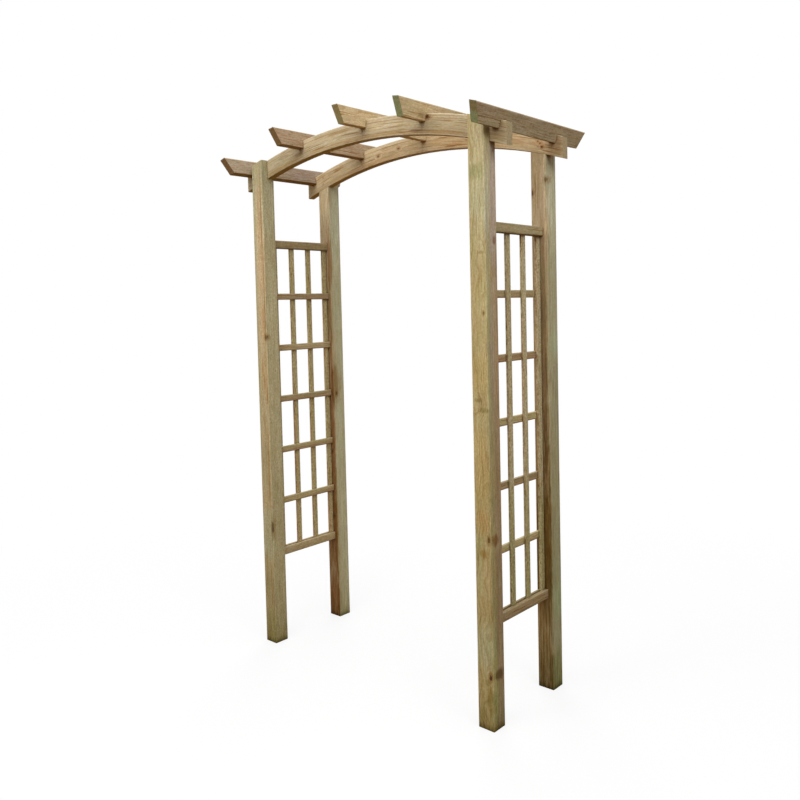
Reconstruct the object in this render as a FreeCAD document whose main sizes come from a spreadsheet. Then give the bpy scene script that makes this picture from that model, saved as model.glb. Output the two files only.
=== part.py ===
"""Free-standing timber garden arch: four notched posts, two curved beams, five rafters, two trellis sides.

Frame: millimetres, +Z up, origin on the ground in the middle of the four posts.
X runs across the walkway, Y runs through it, and the front is towards -Y.
"""
import FreeCAD, Part
import os
import re
import Sketcher

# Driving dimensions: name, value, meaning
SIZES = [
    ("post_size", 70, "side of the square posts"),
    ("post_arris", 4, "rounding of the posts' long edges"),
    ("post_span", 1222, "left to right distance between post centres"),
    ("post_reach", 408, "front to back distance between post centres"),
    ("crown_height", 2287, "top of the curved beams above the ground, at mid span"),
    ("beam_radius", 2258, "radius of the beams' top edge"),
    ("beam_depth", 78, "depth of the beams, measured along the radius"),
    ("beam_thick", 36, "thickness of the beams, which is let into the posts"),
    ("beam_tail", 21, "beam left over outside the outermost rafters"),
    ("beam_arris", 1.5, "chamfer of the beams' long edges"),
    ("rafter_thick", 32, "thickness of the rafters"),
    ("rafter_depth", 68, "depth of the rafters"),
    ("rafter_notch", 31, "depth of the notch that sits over a beam"),
    ("rafter_overhang", 158, "rafter's top edge beyond the outer face of a beam"),
    ("rafter_slant", 36, "how far the slanted end cut runs back at the underside"),
    ("rafter_arris", 2, "rounding of the rafters' long edges"),
    ("rafter_post_gap", 12, "air between a post and the outermost rafter beside it"),
    ("middle_shift", 34, "distance of the middle rafter from the crown, along the beam"),
    ("panel_foot", 369, "underside of the right trellis above the ground"),
    ("panel_drop", 286, "top of the right trellis below the beams' underside at the posts"),
    ("left_panel_lift", 22, "how much higher than the right trellis the left one is fixed"),
    ("rail_thick", 34, "thickness of the trellis rails"),
    ("rail_depth", 36, "height of the trellis rails"),
    ("rail_arris", 2.5, "rounding of the rails' long edges"),
    ("tenon_length", 28, "how far a rail's tenon enters its post"),
    ("tenon_thick", 14, "thickness of the tenons"),
    ("tenon_shoulder", 6, "rail left above and below a tenon"),
    ("groove_depth", 10, "depth of the groove that holds the uprights' ends"),
    ("lath_thick", 10, "thickness of the horizontal laths"),
    ("lath_depth", 29, "height of the horizontal laths"),
    ("lath_arris", 1.2, "rounding of the laths' long edges"),
    ("upright_thick", 10, "thickness of the uprights"),
    ("upright_width", 26, "width of the uprights"),
    ("upright_arris", 1.2, "rounding of the uprights' long edges"),
    ("upright_gap", 2, "air between a post and the upright beside it"),
    ("fit_gap", 0.2, "clearance in every housed joint"),
    ("drill_gap", 0.15, "clearance around every fastener"),
    ("screw_head", 10, "head diameter of the countersunk screws"),
    ("screw_rim", 0.6, "straight rim of a screw head"),
    ("screw_shank", 5, "shank diameter of the screws"),
    ("screw_tip", 6, "length of a screw's point"),
    ("drive_span", 5, "width across the cross recess in a screw head"),
    ("drive_slot", 1.3, "width of one slot of the cross recess"),
    ("drive_depth", 1.6, "depth of the cross recess"),
    ("beam_screw_spread", 30, "distance between the two screws of a beam joint"),
    ("beam_screw_cover", 12, "post left in front of a beam screw's point"),
    ("rafter_screw_sink", 5, "how deep a rafter screw's head lies in its hole"),
    ("rafter_screw_bite", 40, "length of a rafter screw inside the beam"),
    ("nail_head", 4.5, "head diameter of the trellis nails"),
    ("nail_cap", 0.8, "thickness of a nail head"),
    ("nail_shank", 2, "shank diameter of the nails"),
    ("nail_tip", 3, "length of a nail's point"),
    ("nail_cover", 2, "upright left behind a nail's point"),
]
LATHS = 5
UPRIGHTS = 4
SIDES = {"left": -1, "right": 1}
ENDS = {"front": -1, "back": 1}
ALIAS = re.compile(r"\b(" + "|".join(name for name, _, _ in SIZES) + r")\b")

# Lengths and angles that follow from the driving dimensions
CLEAR = "(post_reach - post_size)"
INNER_X = "(post_span / 2 - post_size / 2)"
OUTER_X = "(post_span / 2 + post_size / 2)"
ARC_CENTRE = "(crown_height - beam_radius)"
UNDER_RADIUS = "(beam_radius - beam_depth)"
BEAM_Y = f"({CLEAR} / 2 + beam_thick / 2)"
RAFTER_FOOT = "(beam_radius - rafter_notch)"
RAFTER_TOP = f"({RAFTER_FOOT} + rafter_depth)"
RAFTER_END = f"({CLEAR} / 2 + beam_thick + rafter_overhang)"
# The outermost rafter's lower inner edge stands clear of the post's outer face:
# foot * sin(angle) - thick / 2 * cos(angle) = outer face + gap
OUTER_ANGLE = (
    f"(asin(({OUTER_X} + rafter_post_gap) / sqrt({RAFTER_FOOT}^2 + (rafter_thick / 2)^2))"
    f" + atan(rafter_thick / 2 / {RAFTER_FOOT}))"
)
MIDDLE_ANGLE = "(middle_shift / beam_radius * 180 / pi * 1 deg)"
BEAM_END = f"(beam_radius * sin({OUTER_ANGLE}) + rafter_thick / 2 * cos({OUTER_ANGLE}) + beam_tail)"
SEAT = f"({ARC_CENTRE} + sqrt({UNDER_RADIUS}^2 - (post_span / 2)^2))"
PANEL_TOP = f"({SEAT} - panel_drop)"
RAIL_LENGTH = f"({CLEAR} - 2 * fit_gap)"
TENON_DEPTH = "(rail_depth - 2 * tenon_shoulder)"
WINDOW = f"({PANEL_TOP} - panel_foot - 2 * rail_depth)"
LATH_GAP = f"(({WINDOW} - {LATHS} * lath_depth) / {LATHS + 1})"
LATH_X = "(rail_thick / 2 - lath_thick / 2)"
UPRIGHT_X = "(rail_thick / 2 - lath_thick - upright_thick / 2)"
UPRIGHT_PITCH = f"(({CLEAR} - 2 * upright_gap - upright_width) / {UPRIGHTS - 1})"
UPRIGHT_LENGTH = f"({WINDOW} + 2 * groove_depth)"
SCREW_CONE = "(screw_rim + (screw_head - screw_shank) / 2)"
BEAM_SCREW_LENGTH = "(post_size - beam_screw_cover)"
BEAM_SCREW_Z = f"({ARC_CENTRE} + sqrt((beam_radius - beam_depth / 2)^2 - (post_span / 2)^2))"
RAFTER_SCREW_LENGTH = "(rafter_depth - rafter_notch - rafter_screw_sink + rafter_screw_bite)"
RAFTER_SCREW_RADIUS = f"({RAFTER_TOP} - rafter_screw_sink)"
NAIL_LENGTH = "(lath_thick + upright_thick - nail_cover)"

# Each rafter's side of the crown and its angle from the crown
RAFTERS = {
    "rafter_far_left": (-1, OUTER_ANGLE),
    "rafter_left": (-1, f"({OUTER_ANGLE} / 2)"),
    "rafter_middle": (1, MIDDLE_ANGLE),
    "rafter_right": (1, f"({OUTER_ANGLE} / 2)"),
    "rafter_far_right": (1, OUTER_ANGLE),
}
LIFTS = {-1: "left_panel_lift", 1: "0"}
RAIL_HEIGHTS = {
    "bottom_rail": "(panel_foot + rail_depth / 2)",
    "top_rail": f"({PANEL_TOP} - rail_depth / 2)",
}
LATH_HEIGHTS = [
    f"(panel_foot + rail_depth + {i} * {LATH_GAP} + {i - 1} * lath_depth + lath_depth / 2)"
    for i in range(1, LATHS + 1)
]
UPRIGHT_HEIGHT = f"((panel_foot + {PANEL_TOP}) / 2)"
UPRIGHT_PLACES = [f"({i} * {UPRIGHT_PITCH} - {UPRIGHTS - 1} * {UPRIGHT_PITCH} / 2)" for i in range(UPRIGHTS)]

X_AXIS = FreeCAD.Vector(1, 0, 0)
Y_AXIS = FreeCAD.Vector(0, 1, 0)
Z_AXIS = FreeCAD.Vector(0, 0, 1)

doc = FreeCAD.newDocument("garden_arch")
sheet = doc.addObject("Spreadsheet::Sheet", "Sizes")
for row, (name, size, meaning) in enumerate(SIZES, start=1):
    sheet.set(f"A{row}", name)
    sheet.set(f"B{row}", str(size))
    sheet.setAlias(f"B{row}", name)
    sheet.set(f"C{row}", meaning)
doc.recompute()


# Expressions


def in_sheet(expression):
    """The expression with each driving dimension read from its cell."""
    return ALIAS.sub(r"Sizes.\1", expression)


def value_of(expression):
    """The expression's present value, in millimetres or degrees."""
    result = sheet.evalExpression(in_sheet(expression))
    return float(getattr(result, "Value", result))


def bind(thing, prop, expression):
    """Ties a property to the driving dimensions."""
    thing.setExpression(prop, in_sheet(expression))


def signed(sign, expression):
    return f"({expression})" if sign > 0 else f"(-({expression}))"


def lifted(side, height):
    """A height in the right trellis, moved to where it is in the trellis on this side."""
    return f"({height} + {LIFTS[side]})"


def arc_height(radius, x):
    """Height of a beam's curve of this radius, at a distance x from mid span."""
    return f"({ARC_CENTRE} + sqrt({radius}^2 - {x}^2))"


# Sketches and features


def new_body(name):
    return doc.addObject("PartDesign::Body", f"{name}_blank")


def new_sketch(body, name, plane, depth=None):
    """An empty sketch on one of the body's own planes, or at a depth along that plane's normal."""
    sketch = body.newObject("Sketcher::SketchObject", f"{body.Name}_{name}")
    plane_feature = [f for f in body.Origin.OriginFeatures if f.Role == plane][0]
    sketch.AttachmentSupport = [(plane_feature, "")]
    sketch.MapMode = "FlatFace"
    if depth is not None:
        bind(sketch, "AttachmentOffset.Base.z", depth)
    return sketch


def tie(sketch, kind, place, expression):
    """Adds a signed driving distance from the sketch's origin to one end of a line or arc."""
    index = sketch.addConstraint(Sketcher.Constraint(kind, -1, 1, *place, value_of(expression)))
    bind(sketch, f"Constraints[{index}]", expression)


def pin(sketch, place, x, y):
    """Fixes one end of a line by its two distances from the origin, or onto an axis where one is 0."""
    for kind, axis, expression in (("DistanceX", -2, x), ("DistanceY", -1, y)):
        if expression == "0":
            sketch.addConstraint(Sketcher.Constraint("PointOnObject", *place, axis))
        else:
            tie(sketch, kind, place, expression)


def outline(sketch, corners):
    """A closed outline of straight lines through corners that are pairs of expressions."""
    points = [FreeCAD.Vector(value_of(x), value_of(y), 0) for x, y in corners]
    count = len(points)
    for i in range(count):
        sketch.addGeometry(Part.LineSegment(points[i], points[(i + 1) % count]))
    for i in range(count):
        sketch.addConstraint(Sketcher.Constraint("Coincident", i, 2, (i + 1) % count, 1))
    for i, (x, y) in enumerate(corners):
        pin(sketch, (i, 1), x, y)
    return sketch


def rectangle(width, height, x="0", y="0"):
    """Corners of a rectangle around the point x, y."""
    left, right = f"{x} - ({width}) / 2", f"{x} + ({width}) / 2"
    low, high = f"{y} - ({height}) / 2", f"{y} + ({height}) / 2"
    return [(left, low), (right, low), (right, high), (left, high)]


def pad(body, sketch, length):
    """Thickens a sketch to both sides alike."""
    feature = body.newObject("PartDesign::Pad", f"{sketch.Name}_pad")
    feature.Profile = sketch
    feature.SideType = "Symmetric"
    bind(feature, "Length", length)
    doc.recompute()


def pocket(body, sketch, length=None, symmetric=False):
    """Cuts a sketch out of the body, behind its plane or to both sides, and checks that it cut."""
    before = body.Shape.Volume
    feature = body.newObject("PartDesign::Pocket", f"{sketch.Name}_pocket")
    feature.Profile = sketch
    if length is None:
        feature.Type = "ThroughAll"
    else:
        bind(feature, "Length", length)
    if symmetric:
        feature.SideType = "Symmetric"
    doc.recompute()
    if body.Shape.Volume >= before:
        raise RuntimeError(f"{feature.Name} cut nothing")


def ease_edges(body, wanted, size, kind="Fillet"):
    """Rounds or chamfers the edges of the body's present shape that the test picks out."""
    base = body.Tip
    names = [f"Edge{i}" for i, edge in enumerate(base.Shape.Edges, start=1) if wanted(edge)]
    feature = body.newObject(f"PartDesign::{kind}", f"{body.Name}_arris")
    feature.Base = (base, names)
    bind(feature, "Radius" if kind == "Fillet" else "Size", size)
    doc.recompute()


def runs_along(edge, axis):
    """True for a straight edge along an axis."""
    return isinstance(edge.Curve, Part.Line) and edge.Curve.Direction.cross(axis).Length < 1e-6


def place(thing, x="0", y="0", z="0", axis=Z_AXIS, angle="0 deg"):
    """Puts an object at a place and a turn that follow the driving dimensions."""
    thing.Placement = FreeCAD.Placement(FreeCAD.Vector(), FreeCAD.Rotation(axis, 1))
    bind(thing, "Placement.Rotation.Angle", angle)
    for letter, expression in zip("xyz", (x, y, z)):
        bind(thing, f"Placement.Base.{letter}", expression)


# Fasteners and the holes for them: turned prototypes with their heads at the origin and their points down


def turned(name, profile):
    """A body turned about its own Z axis from half of its profile."""
    body = new_body(name)
    sketch = outline(new_sketch(body, "profile", "XZ_Plane"), profile)
    feature = body.newObject("PartDesign::Revolution", f"{name}_turned")
    feature.Profile = sketch
    feature.ReferenceAxis = (sketch, ["V_Axis"])
    feature.Angle = 360
    doc.recompute()
    return body


def screw(name, length):
    """A countersunk wood screw with a cross recess in its head."""
    body = turned(name, [
        ("0", "0"),
        ("screw_head / 2", "0"),
        ("screw_head / 2", "-screw_rim"),
        ("screw_shank / 2", f"-{SCREW_CONE}"),
        ("screw_shank / 2", f"-({length} - screw_tip)"),
        ("0", f"-{length}"),
    ])
    wide, slim = "drive_span / 2", "drive_slot / 2"
    arms = [(wide, slim), (slim, slim), (slim, wide)]
    cross = list(arms)
    cross += [(f"-{x}", y) for x, y in reversed(arms)]
    cross += [(f"-{x}", f"-{y}") for x, y in arms]
    cross += [(x, f"-{y}") for x, y in reversed(arms)]
    pocket(body, outline(new_sketch(body, "drive", "XY_Plane"), cross), "drive_depth")
    return body


def screw_hole(name, length, above):
    """The hole for such a screw, running on above its head."""
    return turned(name, [
        ("0", above),
        ("screw_head / 2 + drill_gap", above),
        ("screw_head / 2 + drill_gap", "-screw_rim"),
        ("screw_shank / 2 + drill_gap", f"-{SCREW_CONE}"),
        ("screw_shank / 2 + drill_gap", f"-({length} + drill_gap)"),
        ("0", f"-({length} + drill_gap)"),
    ])


def nail(name):
    """A flat-headed nail whose head stands proud of the wood."""
    return turned(name, [
        ("0", "nail_cap"),
        ("nail_head / 2", "nail_cap"),
        ("nail_head / 2", "0"),
        ("nail_shank / 2", "0"),
        ("nail_shank / 2", f"-({NAIL_LENGTH} - nail_tip)"),
        ("0", f"-{NAIL_LENGTH}"),
    ])


def nail_hole(name):
    return turned(name, [
        ("0", "nail_cap"),
        ("nail_shank / 2 + drill_gap", "nail_cap"),
        ("nail_shank / 2 + drill_gap", f"-({NAIL_LENGTH} + drill_gap)"),
        ("0", f"-({NAIL_LENGTH} + drill_gap)"),
    ])


def beam_screw_places():
    """Two screws in each beam joint, from the beam's inner face into the post's tongue."""
    for end in ENDS.values():
        for side in SIDES.values():
            for step in (-1, 1):
                yield {
                    "x": signed(side, "post_span / 2"),
                    "y": signed(end, f"{CLEAR} / 2"),
                    "z": f"{BEAM_SCREW_Z} + {signed(step, 'beam_screw_spread / 2')}",
                    "axis": X_AXIS * end,
                    "angle": "90 deg",
                }


def rafter_screw_places():
    """One screw through each rafter into each beam, square to the beam's curve."""
    for side, angle in RAFTERS.values():
        for end in ENDS.values():
            yield {
                "x": signed(side, f"{RAFTER_SCREW_RADIUS} * sin({angle})"),
                "y": signed(end, BEAM_Y),
                "z": f"{ARC_CENTRE} + {RAFTER_SCREW_RADIUS} * cos({angle})",
                "axis": Y_AXIS * side,
                "angle": angle,
            }


def nail_places(side):
    """One nail at each crossing of a lath and an upright, from the walkway outwards."""
    for height in LATH_HEIGHTS:
        for along in UPRIGHT_PLACES:
            yield {
                "x": signed(side, "post_span / 2 - rail_thick / 2"),
                "y": along,
                "z": lifted(side, height),
                "axis": Y_AXIS * -side,
                "angle": "90 deg",
            }


def copies(name, prototype, places):
    """A group of separate copies of one prototype."""
    links = []
    for i, where in enumerate(places, start=1):
        link = doc.addObject("App::Link", f"{name}_{i}")
        link.LinkedObject = prototype
        place(link, **where)
        links.append(link)
    group = doc.addObject("Part::Compound", name)
    group.Links = links
    doc.recompute()
    return group


# Timber pieces


def bar(name, thick, height, length, arris):
    """A straight piece along Y with four rounded long edges."""
    body = new_body(name)
    pad(body, outline(new_sketch(body, "section", "XZ_Plane"), rectangle(thick, height)), length)
    ease_edges(body, lambda edge: runs_along(edge, Y_AXIS), arris)
    return body


def post(name, side, end):
    """A square post with a sloped top, a notch for the beam and two mortises for the rails.

    It is built as a front post with its inner face towards +Y, and a back post is turned half round.
    """
    body = new_body(name)
    outer = side * -end
    outer_height = {radius: arc_height(radius, OUTER_X) for radius in ("beam_radius", UNDER_RADIUS)}
    inner_height = {radius: arc_height(radius, INNER_X) for radius in ("beam_radius", UNDER_RADIUS)}
    shape = [
        (signed(outer, "post_size / 2"), "0"),
        (signed(-outer, "post_size / 2"), "0"),
        (signed(-outer, "post_size / 2"), inner_height["beam_radius"]),
        (signed(outer, "post_size / 2"), outer_height["beam_radius"]),
    ]
    pad(body, outline(new_sketch(body, "side", "XZ_Plane"), shape), "post_size")
    ease_edges(body, lambda edge: runs_along(edge, Z_AXIS), "post_arris")

    # The shoulder follows the chord of the beam's underside and runs on past both faces of the post
    rise = f"({inner_height[UNDER_RADIUS]} - {outer_height[UNDER_RADIUS]})"
    notch = [
        (signed(outer, "post_size"), f"{outer_height[UNDER_RADIUS]} - {rise} / 2 - fit_gap"),
        (signed(-outer, "post_size"), f"{inner_height[UNDER_RADIUS]} + {rise} / 2 - fit_gap"),
        (signed(-outer, "post_size"), "crown_height"),
        (signed(outer, "post_size"), "crown_height"),
    ]
    notch_depth = "-(post_size / 2 - beam_thick - fit_gap)"
    pocket(body, outline(new_sketch(body, "notch", "XZ_Plane", notch_depth), notch))
    mortise_depth = "-(post_size / 2 - tenon_length - fit_gap)"
    for rail, height in RAIL_HEIGHTS.items():
        mouth = rectangle("tenon_thick + 2 * fit_gap", f"{TENON_DEPTH} + 2 * fit_gap", y=lifted(side, height))
        pocket(body, outline(new_sketch(body, f"{rail}_mortise", "XZ_Plane", mortise_depth), mouth))
    turn = "0 deg" if end < 0 else "180 deg"
    place(body, signed(side, "post_span / 2"), signed(end, "post_reach / 2"), angle=turn)
    return body


def beam(name, end):
    """A curved beam of even depth with plumb-cut ends, drawn about the centre of its curve."""
    body = new_body(name)
    sketch = new_sketch(body, "side", "XZ_Plane")
    reach = value_of(BEAM_END)
    circles = ["beam_radius", UNDER_RADIUS]
    ends = []
    for radius in map(value_of, circles):
        height = (radius**2 - reach**2) ** 0.5
        ends.append([FreeCAD.Vector(x, height, 0) for x in (reach, -reach)])
        sketch.addGeometry(Part.Arc(ends[-1][0], FreeCAD.Vector(0, radius, 0), ends[-1][1]))
    for corner in range(2):
        sketch.addGeometry(Part.LineSegment(ends[0][corner], ends[1][corner]))
    for arc, radius in enumerate(circles):
        sketch.addConstraint(Sketcher.Constraint("Coincident", arc, 3, -1, 1))
        index = sketch.addConstraint(Sketcher.Constraint("Radius", arc, value_of(radius)))
        bind(sketch, f"Constraints[{index}]", radius)
        tie(sketch, "DistanceX", (arc, 1), BEAM_END)
        tie(sketch, "DistanceX", (arc, 2), f"-{BEAM_END}")
    for corner in (1, 2):
        sketch.addConstraint(Sketcher.Constraint("Coincident", corner + 1, 1, 0, corner))
        sketch.addConstraint(Sketcher.Constraint("Coincident", corner + 1, 2, 1, corner))
    pad(body, sketch, "beam_thick")
    ease_edges(body, lambda edge: isinstance(edge.Curve, Part.Circle), "beam_arris", "Chamfer")
    place(body, y=signed(end, BEAM_Y), z=ARC_CENTRE)
    return body


def rafter(name, side, angle):
    """A rafter with slanted ends, notched over both beams, drawn about the centre of the beams' curve."""
    body = new_body(name)
    foot_end = f"({RAFTER_END} - rafter_slant)"
    notch_out = f"({CLEAR} / 2 + beam_thick + fit_gap)"
    notch_in = f"({CLEAR} / 2 - fit_gap)"
    roof = "(beam_radius + fit_gap)"
    half = [
        (notch_in, RAFTER_FOOT),
        (notch_in, roof),
        (notch_out, roof),
        (notch_out, RAFTER_FOOT),
        (foot_end, RAFTER_FOOT),
        (RAFTER_END, RAFTER_TOP),
    ]
    corners = half + [(f"-{y}", z) for y, z in reversed(half)]
    pad(body, outline(new_sketch(body, "side", "YZ_Plane"), corners), "rafter_thick")
    roof_height = value_of(roof)

    def long_edge(edge):
        at_roof = abs(edge.CenterOfMass.z - roof_height) < 1e-6
        return runs_along(edge, Y_AXIS) and not at_roof

    ease_edges(body, long_edge, "rafter_arris")
    place(body, z=ARC_CENTRE, axis=Y_AXIS * side, angle=angle)
    return body


def rail(name, side, height, groove_side):
    """A trellis rail with a tenon at each end and a groove for the uprights in its upper or lower face."""
    body = bar(name, "rail_thick", "rail_depth", RAIL_LENGTH, "rail_arris")
    tenon = rectangle("tenon_thick", TENON_DEPTH)
    pad(body, outline(new_sketch(body, "tenon", "XZ_Plane"), tenon), f"{CLEAR} + 2 * tenon_length")
    width = "upright_thick + 2 * fit_gap"
    # Twice the depth of the groove, centred on the face that it is cut into
    groove = rectangle(width, "2 * (groove_depth + fit_gap)",
                       x=signed(-side, UPRIGHT_X), y=signed(groove_side, "rail_depth / 2"))
    pocket(body, outline(new_sketch(body, "groove", "XZ_Plane"), groove), CLEAR, symmetric=True)
    place(body, signed(side, "post_span / 2"), z=lifted(side, height))
    return body


def lath(name, side, height):
    body = bar(name, "lath_thick", "lath_depth", RAIL_LENGTH, "lath_arris")
    place(body, signed(side, f"post_span / 2 - {LATH_X}"), z=lifted(side, height))
    return body


def upright(name, side, along):
    body = bar(name, "upright_thick", "upright_width", UPRIGHT_LENGTH, "upright_arris")
    height = lifted(side, UPRIGHT_HEIGHT)
    place(body, signed(side, f"post_span / 2 - {UPRIGHT_X}"), along, height, X_AXIS, "90 deg")
    return body


def drilled(name, body, *holes):
    """The finished piece: its body less the holes for the fasteners that pass through it."""
    blank = body
    for i, group in enumerate(holes, start=1):
        cut = doc.addObject("Part::Cut", name if i == len(holes) else f"{name}_drilling_{i}")
        cut.Base = blank
        cut.Tool = group
        blank = cut
    doc.recompute()
    if blank.Shape.Volume >= body.Shape.Volume:
        raise RuntimeError(f"{name} was not drilled")
    return blank


# The assembly: each sub-part with the number of solids in it

subparts = []

beam_screw_holes = copies(
    "beam_screw_holes", screw_hole("beam_screw_hole", BEAM_SCREW_LENGTH, "screw_rim"), beam_screw_places())
rafter_screw_holes = copies(
    "rafter_screw_holes",
    screw_hole("rafter_screw_hole", RAFTER_SCREW_LENGTH, "rafter_screw_sink + screw_rim"),
    rafter_screw_places())

for end_name, end in ENDS.items():
    for side_name, side in SIDES.items():
        name = f"post_{end_name}_{side_name}"
        subparts.append((drilled(name, post(name, side, end), beam_screw_holes), 1))
    name = f"arch_beam_{end_name}"
    subparts.append((drilled(name, beam(name, end), beam_screw_holes, rafter_screw_holes), 1))

for name, (side, angle) in RAFTERS.items():
    subparts.append((drilled(name, rafter(name, side, angle), rafter_screw_holes), 1))

nail_drill = nail_hole("nail_hole")
nail_blank = nail("nail")
for side_name, side in SIDES.items():
    holes = copies(f"{side_name}_nail_holes", nail_drill, nail_places(side))
    for rail_name, height in RAIL_HEIGHTS.items():
        piece = rail(f"{side_name}_{rail_name}", side, height, 1 if rail_name == "bottom_rail" else -1)
        piece.Label = f"{side_name}_{rail_name}"
        subparts.append((piece, 1))
    for i, height in enumerate(LATH_HEIGHTS, start=1):
        name = f"{side_name}_lath_{i}"
        subparts.append((drilled(name, lath(name, side, height), holes), 1))
    for i, along in enumerate(UPRIGHT_PLACES, start=1):
        name = f"{side_name}_upright_{i}"
        subparts.append((drilled(name, upright(name, side, along), holes), 1))
    nails = copies(f"{side_name}_trellis_nails", nail_blank, nail_places(side))
    subparts.append((nails, LATHS * UPRIGHTS))

beam_screws = copies("beam_screws", screw("beam_screw", BEAM_SCREW_LENGTH), beam_screw_places())
subparts.append((beam_screws, len(list(beam_screw_places()))))
rafter_screws = copies("rafter_screws", screw("rafter_screw", RAFTER_SCREW_LENGTH), rafter_screw_places())
subparts.append((rafter_screws, len(list(rafter_screw_places()))))

doc.recompute()
for thing in doc.Objects:
    if "Invalid" in thing.State or "Error" in thing.State:
        raise RuntimeError(f"{thing.Name} failed: {thing.State}")
for piece, solids in subparts:
    if piece.Shape.isNull() or not piece.Shape.isValid():
        raise RuntimeError(f"{piece.Label} has no valid shape")
    if len(piece.Shape.Solids) != solids:
        raise RuntimeError(f"{piece.Label} has {len(piece.Shape.Solids)} solids, not {solids}")

os.makedirs("parts", exist_ok=True)
for piece, _ in subparts:
    piece.Shape.exportStep(f"parts/{piece.Label}.step")
    box = piece.Shape.BoundBox
    print(f"{piece.Label}: {box.XLength:.1f} x {box.YLength:.1f} x {box.ZLength:.1f} mm")
print(f"{len(subparts)} sub-parts")
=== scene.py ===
"""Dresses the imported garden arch: treated softwood, coated fixings, soft light and the photo's camera."""
import bpy
import itertools
import math
from mathutils import Matrix, Vector


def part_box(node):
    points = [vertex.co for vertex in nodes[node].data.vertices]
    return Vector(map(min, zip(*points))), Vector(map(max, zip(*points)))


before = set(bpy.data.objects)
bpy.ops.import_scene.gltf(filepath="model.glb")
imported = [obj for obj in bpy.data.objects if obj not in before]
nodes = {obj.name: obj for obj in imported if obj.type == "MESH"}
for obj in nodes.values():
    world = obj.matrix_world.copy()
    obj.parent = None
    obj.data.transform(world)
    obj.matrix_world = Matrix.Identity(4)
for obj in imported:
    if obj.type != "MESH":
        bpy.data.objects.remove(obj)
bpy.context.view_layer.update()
scene = bpy.context.scene

# The curve that the beams and rafters follow, in metres
BEAM_RADIUS = 2.258
BEAM_DEPTH = 0.078
ARC_CENTRE_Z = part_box("arch_beam_front")[1].z - BEAM_RADIUS

# The photograph's camera, fitted to the arch's edges: metres, radians and pixels
IMAGE_SIZE = 800
CAMERA_PLACE = Vector((2.2866, -2.5284, 1.5378))
CAMERA_YAW = 0.7309
CAMERA_PITCH = 0.0489
CAMERA_ROLL = -0.0239
FOCAL_PIXELS = 798.0
OPTICAL_CENTRE_Y = 346.1
SENSOR_MM = 36.0


def make_camera():
    forward = Vector((
        -math.sin(CAMERA_YAW) * math.cos(CAMERA_PITCH),
        math.cos(CAMERA_YAW) * math.cos(CAMERA_PITCH),
        -math.sin(CAMERA_PITCH),
    ))
    level_right = Vector((math.cos(CAMERA_YAW), math.sin(CAMERA_YAW), 0.0))
    level_up = level_right.cross(forward)
    right = math.cos(CAMERA_ROLL) * level_right + math.sin(CAMERA_ROLL) * level_up
    up = math.cos(CAMERA_ROLL) * level_up - math.sin(CAMERA_ROLL) * level_right
    data = bpy.data.cameras.new("photo_camera")
    data.sensor_width = SENSOR_MM
    data.lens = SENSOR_MM * FOCAL_PIXELS / IMAGE_SIZE
    data.shift_y = (OPTICAL_CENTRE_Y - IMAGE_SIZE / 2) / IMAGE_SIZE
    camera = bpy.data.objects.new("photo_camera", data)
    turn = Matrix((right, up, -forward)).transposed()
    camera.matrix_world = Matrix.Translation(CAMERA_PLACE) @ turn.to_4x4()
    scene.collection.objects.link(camera)
    scene.camera = camera


make_camera()


# Shader nodes


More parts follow.
